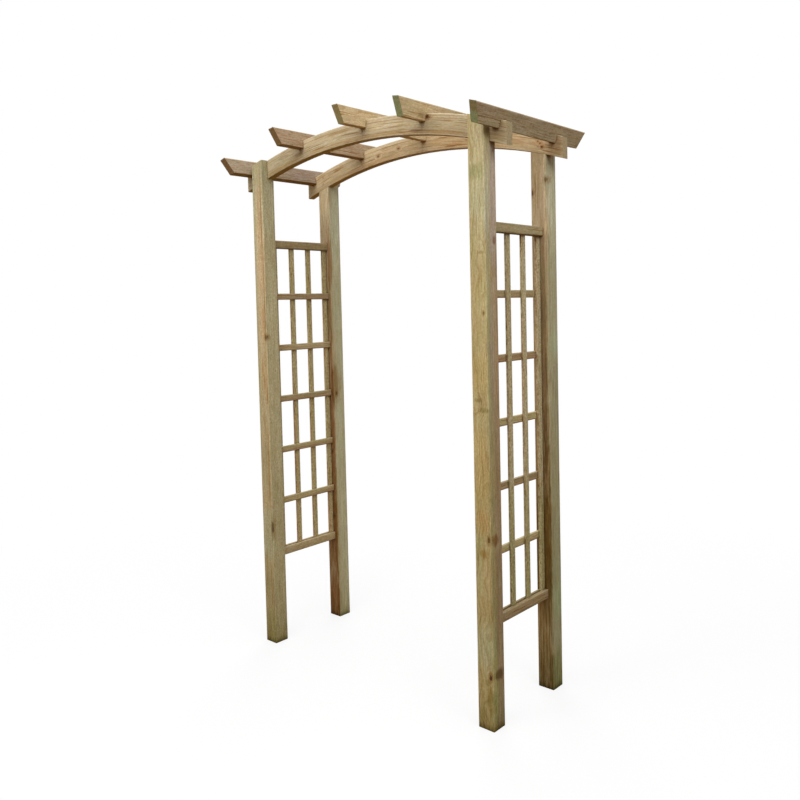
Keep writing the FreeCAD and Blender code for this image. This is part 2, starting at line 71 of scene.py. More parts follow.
class Shader:
    """Adds nodes to a tree. An argument is a number, a tuple or another node's output."""

    def __init__(self, tree):
        self.tree = tree

    def node(self, kind, inputs=(), **settings):
        made = self.tree.nodes.new(kind)
        for name, setting in settings.items():
            setattr(made, name, setting)
        for key, source in dict(inputs).items():
            self.set(made.inputs[key], source)
        return made

    def set(self, socket, source):
        if isinstance(source, bpy.types.NodeSocket):
            self.tree.links.new(source, socket)
        else:
            socket.default_value = source

    def math(self, operation, *values, clamp=False):
        made = self.node("ShaderNodeMath", enumerate(values), operation=operation, use_clamp=clamp)
        return made.outputs[0]

    def vector(self, operation, *values, **named):
        made = self.node("ShaderNodeVectorMath", enumerate(values), operation=operation)
        for name, source in named.items():
            self.set(made.inputs[name], source)
        return made.outputs["Value" if operation in ("LENGTH", "DOT_PRODUCT") else "Vector"]

    def split(self, vector):
        return self.node("ShaderNodeSeparateXYZ", {0: vector}).outputs

    def join(self, x, y, z):
        return self.node("ShaderNodeCombineXYZ", enumerate((x, y, z))).outputs[0]

    def noise(self, vector, scales, detail=2.0, roughness=0.5):
        """Noise between about 0.2 and 0.8, stretched by a scale along each axis, as a value and a colour."""
        stretched = self.vector("MULTIPLY", vector, scales)
        inputs = {"Vector": stretched, "Scale": 1.0, "Detail": detail, "Roughness": roughness}
        made = self.node("ShaderNodeTexNoise", inputs)
        return made.outputs["Fac"], made.outputs["Color"]

    def ease(self, value, low, high, bottom=0.0, top=1.0):
        """A smooth step from bottom to top as the value goes from low to high."""
        inputs = {"Value": value, "From Min": low, "From Max": high, "To Min": bottom, "To Max": top}
        return self.node("ShaderNodeMapRange", inputs, interpolation_type="SMOOTHSTEP").outputs[0]

    def about_zero(self, value, amount):
        """A noise value about a half as a distance either way of zero."""
        return self.math("MULTIPLY", self.math("SUBTRACT", value, 0.5), amount)

    def about_one(self, value, amount):
        """A factor that varies about 1 as a noise value varies about a half."""
        return self.math("MULTIPLY_ADD", self.math("SUBTRACT", value, 0.5), amount, 1.0)

    def mix(self, factor, first, second, blend="MIX"):
        made = self.node("ShaderNodeMix", data_type="RGBA", blend_type=blend)
        for name, source in (("Factor_Float", factor), ("A_Color", first), ("B_Color", second)):
            socket = [s for s in made.inputs if s.identifier == name][0]
            if isinstance(source, tuple) and len(source) == 3:
                source = (*source, 1.0)
            self.set(socket, source)
        return [s for s in made.outputs if s.identifier == "Result_Color"][0]

    def tint(self, factor, colour, multiplier):
        """The colour multiplied by another as far as the factor says."""
        return self.mix(factor, colour, multiplier, "MULTIPLY")

    def ramp(self, value, stops):
        """Greys between stops, each a position and a level."""
        made = self.node("ShaderNodeValToRGB", {"Fac": value})
        ramp = made.color_ramp
        while len(ramp.elements) < len(stops):
            ramp.elements.new(0.5)
        for element, (position, level) in zip(ramp.elements, stops):
            element.position = position
            element.color = (level, level, level, 1.0)
        return made.outputs["Color"]


def new_group(name, inputs, outputs):
    """An empty node group with its interface, and the sockets inside it."""
    tree = bpy.data.node_groups.new(name, "ShaderNodeTree")
    for label, kind in inputs:
        tree.interface.new_socket(label, in_out="INPUT", socket_type=f"NodeSocket{kind}")
    for label, kind in outputs:
        tree.interface.new_socket(label, in_out="OUTPUT", socket_type=f"NodeSocket{kind}")
    shader = Shader(tree)
    entry = shader.node("NodeGroupInput").outputs
    result = shader.node("NodeGroupOutput").inputs
    return tree, shader, entry, result


# Softwood

WHITE = (1.0, 1.0, 1.0)
LATE_WOOD = (0.64, 0.52, 0.38)
DARK_STREAK = (0.56, 0.43, 0.27)
HUE_DRIFT = (0.16, 0.10, 0.24)
# How strongly red, green and blue follow the wood's light and dark: dark wood is browner
TONE_PULL = (0.88, 1.04, 1.40)
# How far apart two seeds lie in the noise, and in the count of rings
SEED_SHIFT = (3.1, 5.3, 7.9)
SEED_RINGS = 17.0
# Noises: scales across and along the grain, per metre, detail and roughness
GRAIN_NOISES = {
    "fibre": ((800.0, 800.0, 16.0), 2.0, 0.5),
    "thread": ((230.0, 230.0, 6.0), 2.0, 0.6),
    "streak": ((120.0, 120.0, 2.5), 3.0, 0.6),
    "fleck": ((190.0, 190.0, 22.0), 2.0, 0.65),
    "speck": ((200.0, 200.0, 110.0), 2.0, 0.65),
    "mottle": ((55.0, 55.0, 14.0), 2.0, 0.5),
    "cloud": ((16.0, 16.0, 1.8), 2.0, 0.5),
    "patch": ((28.0, 28.0, 4.5), 1.0, 0.5),
    "sway": ((7.0, 7.0, 1.7), 1.0, 0.5),
    "figure": ((12.0, 12.0, 8.0), 1.0, 0.5),
}
HUE_NOISE = ((70.0, 70.0, 12.0), 2.0, 0.5)
# How far the wood lightens and darkens with each noise; each piece sets that of its specks
TONE_SHARES = {"streak": 0.4, "fibre": 0.4, "cloud": 0.25, "patch": 0.3, "fleck": 0.6, "thread": 0.5,
               "mottle": 0.25}
# Early to late wood across one ring, and how dark the palest ring is and how much darker others are
RING_STOPS = [(0.0, 0.0), (0.4, 0.12), (0.8, 0.85), (0.93, 1.0), (1.0, 0.0)]
RING_LEAST, RING_SPREAD = 0.25, 0.9
RING_SWAY = 0.03
# The heartwood's ragged edge, and the depths outside it over which the preservative sets in, in metres
HEART_STREAKS, HEART_CLOUDS = 0.014, 0.02
HEART_EDGE = 0.002
GREEN_DEPTHS = (0.003, 0.022)
GREEN_LEAST, GREEN_CLOUDS = 0.2, 1.2
# Noise levels at which threads and flecks turn dark, and what is left of threads outside their patches
DARK_THREADS = (0.53, 0.62)
THREAD_PATCHES = (0.38, 0.60, 0.25, 1.0)
DARK_FLECKS = (0.54, 0.64)
RING_HEIGHT, FIBRE_HEIGHT = 0.5, 0.8
ROUGHNESS_LEAST, ROUGHNESS_FIBRES = 0.62, 0.25


def softwood_group():
    """Softwood as a solid: growth rings round a pith that runs along the piece, in its own grain frame.

    Grain is a point in metres, two distances across the piece and one along it. Heartwood lies round the
    pith and stays brown; the sapwood outside it took up the preservative, and its outer part is greenest.
    Push is how far a knot moves the rings.
    """
    inputs = [
        ("Grain", "Vector"), ("Seed", "Float"), ("Pith", "Vector"), ("Figure", "Float"), ("Ring", "Float"),
        ("Heart", "Float"), ("Push", "Float"), ("Sapwood", "Color"), ("Heartwood", "Color"),
        ("Preservative", "Color"), ("Rings", "Float"), ("Green", "Float"), ("Streaks", "Float"),
        ("Flecks", "Float"), ("Specks", "Float"),
    ]
    outputs = [("Color", "Color"), ("Height", "Float"), ("Roughness", "Float")]
    tree, s, entry, result = new_group("softwood", inputs, outputs)
    point = s.vector("ADD", entry["Grain"], s.vector("SCALE", SEED_SHIFT, Scale=entry["Seed"]))
    noise = {name: s.noise(point, *settings)[0] for name, settings in GRAIN_NOISES.items()}
    hue = s.noise(point, *HUE_NOISE)[1]

    from_pith = s.vector("SUBTRACT", entry["Grain"], entry["Pith"])
    radius = s.vector("LENGTH", s.vector("MULTIPLY", from_pith, (1.0, 1.0, 0.0)))
    radius = s.math("ADD", radius, s.about_zero(noise["sway"], RING_SWAY))
    radius = s.math("ADD", radius, s.about_zero(noise["figure"], entry["Figure"]))
    radius = s.math("ADD", radius, entry["Push"])
    phase = s.math("DIVIDE", radius, entry["Ring"])
    late = s.ramp(s.math("FRACT", phase), RING_STOPS)
    ring_count = s.math("MULTIPLY_ADD", entry["Seed"], SEED_RINGS, s.math("FLOOR", phase))
    ring_tone = s.node("ShaderNodeTexWhiteNoise", {"W": ring_count}, noise_dimensions="1D").outputs["Value"]
    late = s.math("MULTIPLY", late, s.math("MULTIPLY_ADD", ring_tone, RING_SPREAD, RING_LEAST))

    wander = s.math("ADD", s.about_zero(noise["streak"], HEART_STREAKS),
                    s.about_zero(noise["cloud"], HEART_CLOUDS))
    beyond = s.math("SUBTRACT", radius, s.math("ADD", entry["Heart"], wander))
    heart = s.ease(beyond, -HEART_EDGE, HEART_EDGE, 1.0, 0.0)
    cloudy = s.math("MULTIPLY_ADD", noise["cloud"], GREEN_CLOUDS, GREEN_LEAST, clamp=True)
    green = s.math("MULTIPLY", s.ease(beyond, *GREEN_DEPTHS), cloudy)
    green = s.math("MULTIPLY", green, entry["Green"], clamp=True)
    colour = s.mix(green, entry["Sapwood"], entry["Preservative"])
    colour = s.mix(heart, colour, entry["Heartwood"])

    off_grey = s.vector("SUBTRACT", hue, (0.5, 0.5, 0.5))
    colour = s.vector("MULTIPLY", colour, s.vector("MULTIPLY_ADD", off_grey, HUE_DRIFT, WHITE))
    colour = s.tint(s.math("MULTIPLY", late, entry["Rings"], clamp=True), colour, LATE_WOOD)
    threads = s.math("MULTIPLY", s.ease(noise["thread"], *DARK_THREADS), entry["Streaks"])
    threads = s.math("MULTIPLY", threads, s.ease(noise["patch"], *THREAD_PATCHES))
    flecks = s.math("MULTIPLY", s.ease(noise["fleck"], *DARK_FLECKS), entry["Flecks"])
    dark = s.math("MINIMUM", s.math("MAXIMUM", threads, flecks), 1.0)
    colour = s.tint(dark, colour, DARK_STREAK)

    tone = s.about_one(noise["speck"], entry["Specks"])
    for name, share in TONE_SHARES.items():
        tone = s.math("MULTIPLY", tone, s.about_one(noise[name], share))
    pull = s.vector("SCALE", TONE_PULL, Scale=s.math("SUBTRACT", tone, 1.0))
    fibre_height = s.math("MULTIPLY", noise["fibre"], FIBRE_HEIGHT)
    s.set(result["Color"], s.vector("MULTIPLY", colour, s.vector("ADD", pull, WHITE)))
    s.set(result["Height"], s.math("MULTIPLY_ADD", late, RING_HEIGHT, fibre_height))
    s.set(result["Roughness"], s.math("MULTIPLY_ADD", noise["fibre"], ROUGHNESS_FIBRES, ROUGHNESS_LEAST))
    return tree


# Knots and stains: the noise and strength of their ragged edges, and where each part fades, in radii
MARK_INPUTS = [("Grain", "Vector"), ("Centre", "Vector"), ("Size", "Vector")]
KNOT_NOISE, KNOT_WOBBLE = ((160.0, 160.0, 90.0), 2.0, 0.5), 1.1
KNOT_CORE_FADES = (0.6, 1.0)
KNOT_HALO_FADES = (0.9, 2.4)
KNOT_PUSH_FADES = (0.4, 3.4)
KNOT_PUSH = 0.012
STAIN_NOISE, STAIN_WOBBLE = ((110.0, 110.0, 14.0), 4.0, 0.65), 1.3
STAIN_FADES = (0.45, 1.15)


def ragged_distance(s, entry, noise, wobble):
    """How many of its radii a point lies from a mark's centre, with a ragged edge along the grain."""
    apart = s.vector("DIVIDE", s.vector("SUBTRACT", entry["Grain"], entry["Centre"]), entry["Size"])
    stray = s.about_zero(s.noise(entry["Grain"], *noise)[0], wobble)
    return s.math("ADD", stray, s.vector("LENGTH", apart))


def knot_group():
    """A branch knot: how far a point is into its dark core and browner halo, and its push on the rings."""
    outputs = [("Core", "Float"), ("Halo", "Float"), ("Push", "Float")]
    tree, s, entry, result = new_group("knot", MARK_INPUTS, outputs)
    distance = ragged_distance(s, entry, KNOT_NOISE, KNOT_WOBBLE)
    s.set(result["Core"], s.ease(distance, *KNOT_CORE_FADES, 1.0, 0.0))
    s.set(result["Halo"], s.ease(distance, *KNOT_HALO_FADES, 1.0, 0.0))
    s.set(result["Push"], s.ease(distance, *KNOT_PUSH_FADES, KNOT_PUSH, 0.0))
    return tree


def stain_group():
    """How far a point is into a stained patch."""
    tree, s, entry, result = new_group("stain", MARK_INPUTS, [("Share", "Float")])
    distance = ragged_distance(s, entry, STAIN_NOISE, STAIN_WOBBLE)
    s.set(result["Share"], s.ease(distance, *STAIN_FADES, 1.0, 0.0))
    return tree


SOFTWOOD = softwood_group()
KNOT = knot_group()
STAIN = stain_group()


# Grain frames: a point's place across and along the piece, and the direction of the grain

# A piece through the arch that is higher than this is a rafter, which leans with the beams' curve
LEANING_HEIGHT = 0.06


def along_z(s, low, high):
    """Grain frame of an upright piece: X and Y across it, Z along it."""
    middle = (low + high) / 2
    point = s.node("ShaderNodeTexCoord").outputs["Object"]
    return s.vector("SUBTRACT", point, (middle.x, middle.y, 0.0)), (0.0, 0.0, 1.0)


def along_y(s, low, high):
    """Grain frame of a piece that runs through the arch: across it in X and in Z, and along Y."""
    middle = (low + high) / 2
    leans = high.z - low.z > LEANING_HEIGHT
    lean = math.atan2(middle.x, middle.z - ARC_CENTRE_Z) if leans else 0.0
    point = s.node("ShaderNodeTexCoord").outputs["Object"]
    level = s.node("ShaderNodeVectorRotate", {"Vector": point, "Center": middle, "Angle": -lean},
                   rotation_type="Y_AXIS").outputs[0]
    x, y, z = s.split(s.vector("SUBTRACT", level, middle))
    return s.join(x, z, y), (0.0, 1.0, 0.0)


def along_arc(s, low, high):
    """Grain frame of a curved beam: across its thickness, across its depth and round its curve."""
    point = s.node("ShaderNodeTexCoord").outputs["Object"]
    x, y, z = s.split(s.vector("SUBTRACT", point, (0.0, (low.y + high.y) / 2, ARC_CENTRE_Z)))
    turn = s.math("ARCTAN2", x, z)
    radius = s.vector("LENGTH", s.join(x, 0.0, z))
    depth = s.math("SUBTRACT", radius, BEAM_RADIUS - BEAM_DEPTH / 2)
    tangent = s.join(s.math("COSINE", turn), 0.0, s.math("MULTIPLY", s.math("SINE", turn), -1.0))
    return s.join(y, depth, s.math("MULTIPLY", turn, BEAM_RADIUS)), tangent


# Tones of the treated softwood, linear
HEARTWOOD = (0.42, 0.30, 0.17)
PRESERVATIVE = (0.455, 0.415, 0.25)
GREEN_END = (0.25, 0.285, 0.135)
BROWN_END = (0.185, 0.106, 0.034)
TAN_END = (0.21, 0.13, 0.05)
KNOT_CORE = (0.09, 0.045, 0.022)
KNOT_HALO = (0.66, 0.48, 0.32)
WORN_EDGE = (0.60, 0.50, 0.30)
# Painted highlight on top edges, painted shade along lower edges and on undersides
TOP_EDGE_HIGHLIGHT = (0.74, 0.64, 0.44)
LOWER_EDGE_SHADE = (0.62, 0.54, 0.42)
PAINTED_UNDERSIDE = (0.78, 0.67, 0.32)
# Moisture low on the posts, and painted shade where the light falls off towards the ground
DAMP_AND_SHADE = (0.62, 0.60, 0.46)
WET_EDGE = (0.42, 0.40, 0.22)
JOINT_SHADE = (0.40, 0.30, 0.20)

# Wear of the long edges: noise, the levels at which they are rubbed, their reach and how much they pale
RUB_NOISE = ((60.0, 60.0, 11.0), 2.0, 0.5)
RUBBED = (0.35, 0.65)
EDGE_REACH = 0.005
EDGE_WEAR = 0.25
# Distances in from the top edges and from the lower edges over which the painted highlight and the painted
# shade show, in metres
TOP_HIGHLIGHT_DEPTHS = (0.005, 0.0015)
LOWER_SHADE_DEPTHS = (0.001, 0.007)
# Slopes of the surface at which it counts as an underside, and as a sawn end
FACING_DOWN = (-0.9, -0.6)
FACING_END = (0.55, 0.8)
END_NOISE, END_CONTRAST = ((140.0, 140.0, 140.0), 3.0, 0.5), 1.2
END_SHARE = 0.9
END_BLEND = 0.008
# Heights over which the darkening low down (moisture, and painted shade of light falling off towards the
# ground), splashes and the wet edge fade, how far each strays, and their strength
DAMP_AND_SHADE_HEIGHTS, SPLASH_HEIGHTS, WET_HEIGHTS = (0.1, 1.5), (0.16, 0.30), (0.014, 0.045)
DAMP_AND_SHADE_STRAY, WET_STRAY = 0.3, 0.03
SPLASH_SHARE, WET_SHARE = 0.75, 0.95
# Painted shade in the joints, darker where ambient occlusion finds little open air: its reach in metres, the
# openness over which it fades, and its strength
JOINT_SHADE_REACH = 0.012
JOINT_SHADE_SAMPLES = 6
JOINT_SHADE_FADES = (0.25, 0.85)
JOINT_SHADE_SHARE = 0.9
GLOSS = 0.04
BUMP_STRENGTH = 0.6
BUMP_DEPTH = 0.0004


def worn_edges(s, colour, grain, half, rub):
    """Pales the long edges where they are rubbed."""
    across = s.split(s.vector("ABSOLUTE", grain))
    inset = s.math("MAXIMUM", s.math("SUBTRACT", half[0], across[0]), s.math("SUBTRACT", half[1], across[1]))
    worn = s.math("MULTIPLY", s.ease(inset, 0.0, EDGE_REACH, EDGE_WEAR, 0.0), s.ease(rub, *RUBBED))
    return s.mix(worn, colour, WORN_EDGE)


def highlight_and_shade(s, colour, grain, normal, half, top_highlight, lower_shade, underside_shade):
    """Paints a highlight on the top edges of a piece that lies across, and paints shade along its lower edges
    and on its underside.
    """
    if top_highlight:
        low, high = [half[1] - depth for depth in TOP_HIGHLIGHT_DEPTHS]
        colour = s.mix(s.ease(s.split(grain)[1], low, high, 0.0, top_highlight), colour, TOP_EDGE_HIGHLIGHT)
    if lower_shade:
        low, high = [depth - half[1] for depth in LOWER_SHADE_DEPTHS]
        colour = s.tint(s.ease(s.split(grain)[1], low, high, lower_shade, 0.0), colour, LOWER_EDGE_SHADE)
    if underside_shade:
        colour = s.tint(s.ease(s.split(normal)[2], *FACING_DOWN, underside_shade, 0.0), colour, PAINTED_UNDERSIDE)
    return colour


def sawn_ends(s, colour, grain, normal, tangent, ends):
    """Gives the faces across the grain the tones of sawn ends, the first above and the second below."""
    facing = s.math("ABSOLUTE", s.vector("DOT_PRODUCT", normal, tangent))
    tone = s.mix(s.ease(s.split(grain)[1], -END_BLEND, END_BLEND), ends[1], ends[0])
    tone = s.vector("SCALE", tone, Scale=s.about_one(s.noise(grain, *END_NOISE)[0], END_CONTRAST))
    return s.mix(s.ease(facing, *FACING_END, 0.0, END_SHARE), colour, tone)


def damp_and_shade_at_foot(s, colour, grain, rub, foot_darkening):
    """Darkens a post towards its foot, most just above the ground: wet wood low down, and painted shade of
    the light falling off towards the ground.
    """
    height = s.split(grain)[2]
    edge = s.math("MULTIPLY_ADD", rub, DAMP_AND_SHADE_STRAY, height)
    colour = s.tint(s.ease(edge, *DAMP_AND_SHADE_HEIGHTS, foot_darkening, 0.0), colour, DAMP_AND_SHADE)
    colour = s.tint(s.ease(edge, *SPLASH_HEIGHTS, SPLASH_SHARE, 0.0), colour, DAMP_AND_SHADE)
    edge = s.math("MULTIPLY_ADD", rub, WET_STRAY, height)
    return s.tint(s.ease(edge, *WET_HEIGHTS, WET_SHARE, 0.0), colour, WET_EDGE)


def put_on(name, material):
    slots = nodes[name].data.materials
    slots.clear()
    slots.append(material)


def timber(name, grain_frame, half, seed, pith, *, heart, sapwood, green, heartwood=HEARTWOOD,
           preservative=PRESERVATIVE, figure=0.008, ring=0.0045, rings=0.5, streaks=0.35, flecks=0.45,
           specks=0.6, top_highlight=0.0, lower_shade=0.0, underside_shade=0.0, foot_damp_and_shade=0.0, knots=(), stains=(),
           ends=(BROWN_END, BROWN_END)):
    """Gives a CAD node its own softwood material. Lengths are in metres.

    half is half of the piece's size across the grain, pith the log's centre in the grain frame, heart the
    radius of the heartwood, ring the width of a ring and figure how far the rings swing along the grain.
    green, rings, streaks, flecks and specks are how strongly each shows. bleached is how strong the painted
    highlight on the top edges of a piece that lies across is, dripped how dark the painted shade along its
    lower edges, shaded how dark the painted shade on its underside, and foot_damp_and_shade how dark a post
    is low down, partly from moisture and partly painted shade. knots are a centre, a size and a darkness, and
    stains a centre, a size and a tint, in the grain frame. ends are the tones of the sawn ends, above and
    below.
    """
    material = bpy.data.materials.new(f"softwood_{name}")
    material.use_nodes = True
    s = Shader(material.node_tree)
    principled = material.node_tree.nodes["Principled BSDF"]
    grain, tangent = grain_frame(s, *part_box(name))
    normal = s.node("ShaderNodeTexCoord").outputs["Normal"]
    rub = s.noise(grain, *RUB_NOISE)[0]

    core, halo, push = 0.0, 0.0, 0.0
    for centre, size, darkness in knots:
        knot = s.node("ShaderNodeGroup", {"Grain": grain, "Centre": centre, "Size": size}, node_tree=KNOT)
        core = s.math("MAXIMUM", core, s.math("MULTIPLY", knot.outputs["Core"], darkness))
        halo = s.math("MAXIMUM", halo, s.math("MULTIPLY", knot.outputs["Halo"], darkness))
        push = s.math("ADD", push, knot.outputs["Push"])
    wood = s.node("ShaderNodeGroup", {
        "Grain": grain, "Seed": seed, "Pith": (*pith, 0.0), "Figure": figure, "Ring": ring, "Heart": heart,
        "Push": push, "Sapwood": (*sapwood, 1.0), "Heartwood": (*heartwood, 1.0),
        "Preservative": (*preservative, 1.0), "Rings": rings, "Green": green, "Streaks": streaks,
        "Flecks": flecks, "Specks": specks,
    }, node_tree=SOFTWOOD)
    colour = wood.outputs["Color"]
    for centre, size, tint in stains:
        stain = s.node("ShaderNodeGroup", {"Grain": grain, "Centre": centre, "Size": size}, node_tree=STAIN)
        colour = s.tint(stain.outputs["Share"], colour, tint)
    if knots:
        colour = s.tint(halo, colour, KNOT_HALO)
        colour = s.mix(core, colour, KNOT_CORE)

    colour = worn_edges(s, colour, grain, half, rub)
    # Painted highlight on the top edges, painted shade along the lower edges and on the underside
    colour = highlight_and_shade(s, colour, grain, normal, half, top_highlight, lower_shade, underside_shade)
    colour = sawn_ends(s, colour, grain, normal, tangent, ends)
    # Darker towards the foot: moisture, and painted shade of light falling off towards the ground
    if foot_damp_and_shade:
        colour = damp_and_shade_at_foot(s, colour, grain, rub, foot_damp_and_shade)
    # Painted shade in the joints and corners, from ambient occlusion
    open_air = s.node("ShaderNodeAmbientOcclusion", {"Distance": JOINT_SHADE_REACH}, samples=JOINT_SHADE_SAMPLES)
    colour = s.tint(s.ease(open_air.outputs["AO"], *JOINT_SHADE_FADES, JOINT_SHADE_SHARE, 0.0), colour, JOINT_SHADE)
    bump = s.node("ShaderNodeBump", {"Height": wood.outputs["Height"], "Strength": BUMP_STRENGTH,
                                     "Distance": BUMP_DEPTH})
    s.set(principled.inputs["Base Color"], colour)
    s.set(principled.inputs["Roughness"], wood.outputs["Roughness"])
    principled.inputs["Specular IOR Level"].default_value = GLOSS
    s.set(principled.inputs["Normal"], bump.outputs["Normal"])
    put_on(name, material)


# Posts, with their listed knots and stains; the sides that the photo doesn't show have invented knots
POST_HALF = (0.035, 0.035)
FRONT, BACK = -0.035, 0.035
LEFT, RIGHT = -0.035, 0.035
# Just outside the front, for stains that cover it and stop at its corners
BEFORE_FRONT = -0.039

timber(
    "post_front_left", along_z, POST_HALF, seed=1, pith=(-0.10, -0.10), heart=0.148,
    sapwood=(0.515, 0.465, 0.275), heartwood=(0.57, 0.47, 0.275), preservative=(0.53, 0.49, 0.30),
    green=0.7, rings=0.4, streaks=0.6, flecks=0.6, specks=1.2, foot_damp_and_shade=0.5,
    knots=[
        ((0.032, FRONT, 1.415), (0.009, 0.012, 0.010), 0.85),
        ((0.032, -0.034, 0.537), (0.006, 0.009, 0.032), 0.75),
        ((LEFT, 0.006, 1.62), (0.02, 0.006, 0.011), 0.8),
        ((-0.008, BACK, 0.92), (0.006, 0.02, 0.012), 0.8),
    ],
    stains=[
        # A pinkish stripe, the dark lines beside it and the greener left edge
        ((0.012, FRONT, 1.80), (0.020, 0.010, 0.42), (0.99, 0.91, 0.86)),
        ((0.021, FRONT, 1.98), (0.004, 0.008, 0.22), (0.62, 0.52, 0.43)),
        ((0.028, FRONT, 1.60), (0.005, 0.008, 0.26), (0.80, 0.68, 0.58)),
        ((-0.002, FRONT, 1.66), (0.024, 0.008, 0.50), (1.12, 1.12, 1.17)),
        ((-0.024, FRONT, 2.02), (0.012, 0.008, 0.20), (0.98, 1.06, 1.08)),
        ((-0.028, FRONT, 1.9), (0.012, 0.01, 0.5), (0.90, 0.96, 0.95)),
        ((-0.030, FRONT, 1.15), (0.010, 0.02, 0.40), (0.86, 0.95, 0.88)),
        # Brown wood above the upper knot, and the brown wedge below it
        ((0.016, FRONT, 1.46), (0.014, 0.01, 0.10), (0.92, 0.78, 0.66)),
        ((0.016, FRONT, 1.27), (0.020, 0.008, 0.12), (0.94, 0.86, 0.78)),
        ((0.000, FRONT, 1.265), (0.005, 0.008, 0.06), (0.80, 0.64, 0.48)),
        ((0.011, FRONT, 1.20), (0.007, 0.008, 0.055), (0.80, 0.64, 0.48)),
        ((0.026, FRONT, 1.15), (0.007, 0.008, 0.05), (0.76, 0.60, 0.44)),
        # Thin brown lines low down
        ((0.022, FRONT, 0.80), (0.006, 0.01, 0.22), (0.86, 0.70, 0.54)),
        ((0.016, FRONT, 0.27), (0.003, 0.008, 0.12), (0.72, 0.58, 0.40)),
        ((0.027, FRONT, 0.20), (0.003, 0.008, 0.14), (0.72, 0.58, 0.40)),
        ((-0.012, FRONT, 0.34), (0.003, 0.008, 0.16), (0.80, 0.70, 0.54)),
        # Slow changes of tone from top to foot
        ((0.0, FRONT, 2.16), (0.06, 0.03, 0.09), (0.90, 0.98, 1.02)),
        ((RIGHT, 0.0, 2.03), (0.02, 0.06, 0.16), (1.04, 1.10, 1.18)),
        ((0.0, FRONT, 0.83), (0.05, 0.01, 0.14), (0.93, 0.95, 0.96)),
        ((0.0, FRONT, 0.50), (0.06, 0.01, 0.14), (0.97, 1.11, 1.22)),
        ((0.0, FRONT, 0.20), (0.06, 0.02, 0.20), (0.90, 0.93, 0.90)),
        ((0.0, FRONT, 0.06), (0.06, 0.012, 0.11), (0.86, 0.90, 0.77)),
    ],
)
timber(
    "post_front_right", along_z, POST_HALF, seed=2, pith=(0.05, 0.05), heart=0.060, figure=0.035, ring=0.0065,
    sapwood=(0.49, 0.415, 0.207), heartwood=(0.445, 0.355, 0.225), preservative=(0.565, 0.47, 0.235),
    green=1.0, rings=0.65, streaks=0.6, flecks=0.6, specks=0.8, foot_damp_and_shade=0.35,
    knots=[
        ((0.024, FRONT, 0.199), (0.006, 0.02, 0.012), 0.95),
        ((0.026, FRONT, 0.70), (0.005, 0.02, 0.012), 0.8),
        ((0.022, FRONT, 1.51), (0.004, 0.02, 0.006), 0.6),
        ((0.0, FRONT, 1.19), (0.012, 0.02, 0.03), 0.2),
        ((LEFT, -0.01, 0.48), (0.02, 0.006, 0.012), 0.8),
        ((0.012, BACK, 1.33), (0.006, 0.02, 0.010), 0.8),
    ],
    stains=[
        # Brown wood where the knots come out on the right side
        ((RIGHT, 0.002, 0.203), (0.02, 0.034, 0.026), (0.44, 0.36, 0.30)),
        ((RIGHT, -0.006, 0.695), (0.02, 0.026, 0.028), (0.62, 0.45, 0.34)),
        ((RIGHT, 0.018, 1.766), (0.02, 0.012, 0.018), (0.60, 0.48, 0.44)),
        # Marks round the knots of the front, and a green band below its top
        ((0.003, FRONT, 0.645), (0.02, 0.02, 0.02), (0.80, 0.66, 0.46)),
        ((0.012, FRONT, 0.175), (0.016, 0.006, 0.014), (0.78, 0.76, 0.66)),
        ((0.02, FRONT, 0.11), (0.02, 0.02, 0.06), (0.78, 0.74, 0.56)),
        ((0.015, FRONT, 1.165), (0.03, 0.02, 0.012), (0.68, 0.68, 0.54)),
        ((-0.008, FRONT, 1.20), (0.02, 0.02, 0.008), (0.74, 0.75, 0.62)),
        ((0.015, FRONT, 1.723), (0.02, 0.02, 0.008), (0.78, 0.74, 0.64)),
        ((-0.005, FRONT, 2.005), (0.05, 0.02, 0.03), (0.78, 0.82, 0.70)),
        # The right side: greyer towards the front, browner towards the back
        ((RIGHT, -0.016, 1.25), (0.01, 0.018, 0.62), (0.93, 0.98, 1.05)),
        ((RIGHT, -0.026, 1.2), (0.012, 0.012, 1.2), (0.87, 0.93, 0.98)),
        ((RIGHT, -0.02, 0.25), (0.02, 0.02, 0.25), (0.90, 1.04, 1.0)),
        ((RIGHT, 0.026, 1.15), (0.01, 0.018, 0.60), (0.98, 0.90, 0.84)),
        # Painted shade on the right side under the beam, then slow changes of tone from top to foot
        ((RIGHT, 0.0, 2.17), (0.02, 0.06, 0.07), (0.76, 0.70, 0.62)),
        ((0.02, -0.02, 2.0), (0.06, 0.05, 0.36), (1.05, 1.13, 1.34)),
        ((RIGHT, 0.01, 1.92), (0.02, 0.05, 0.26), (1.12, 1.15, 1.30)),
        ((RIGHT, 0.0, 1.77), (0.01, 0.06, 0.15), (0.94, 0.92, 0.95)),
        ((0.0, FRONT, 1.92), (0.05, 0.02, 0.10), (0.94, 1.0, 1.02)),
        ((0.0, FRONT, 1.30), (0.05, 0.02, 0.09), (1.0, 0.95, 0.86)),
        ((0.0, FRONT, 0.93), (0.05, 0.02, 0.18), (1.0, 0.93, 0.84)),
        ((0.0, FRONT, 0.76), (0.04, 0.02, 0.05), (1.02, 0.90, 0.78)),
        ((-0.02, FRONT, 0.60), (0.025, 0.02, 0.16), (0.94, 1.02, 1.02)),
        ((0.0, FRONT, 0.53), (0.05, 0.02, 0.12), (1.14, 1.12, 1.18)),
        ((RIGHT, 0.0, 0.53), (0.01, 0.06, 0.18), (0.93, 0.93, 0.94)),
        ((0.06, 0.005, 0.40), (0.04, 0.08, 1.10), (0.78, 0.75, 0.68)),
        ((0.0, FRONT, 0.30), (0.05, 0.02, 0.11), (1.05, 1.20, 1.42)),
        ((RIGHT, 0.0, 0.08), (0.02, 0.06, 0.09), (1.0, 1.10, 1.13)),
    ],
)
